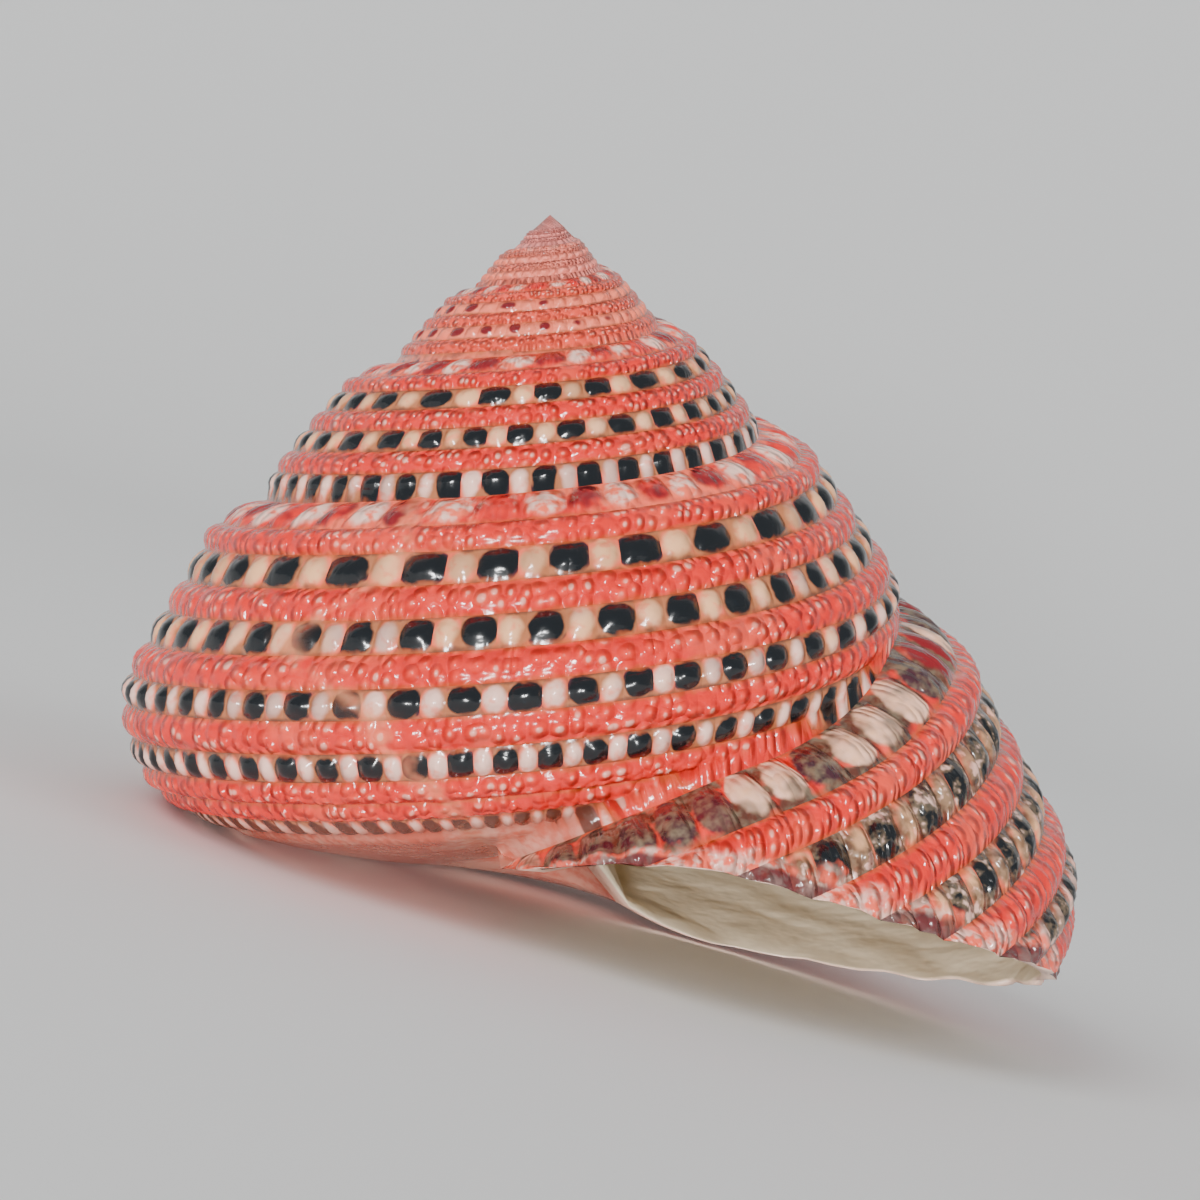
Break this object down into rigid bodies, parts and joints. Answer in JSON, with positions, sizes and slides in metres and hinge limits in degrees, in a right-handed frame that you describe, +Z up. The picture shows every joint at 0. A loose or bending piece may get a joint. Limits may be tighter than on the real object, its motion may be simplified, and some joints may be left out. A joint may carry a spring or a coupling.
{
  "type": "strawberry top shell",
  "caption": "Small conical red sea snail shell with spiral rows of black and pinkish white beads, worn at its tip.",
  "frame": {"origin": "middle of the shell's footprint, at the level of the flat spot on its base that it rests on", "axes": "+Z up from the surface the shell rests on, +X to the right and -Y towards the viewer of the side that shows its lip's edge at the lower right"},
  "size_m": [0.0206, 0.0186, 0.0141],
  "materials": {
    "shell": "glossy"
  },
  "bodies": {
    "root": {"shell": "shell"}
  },
  "joints": []
}
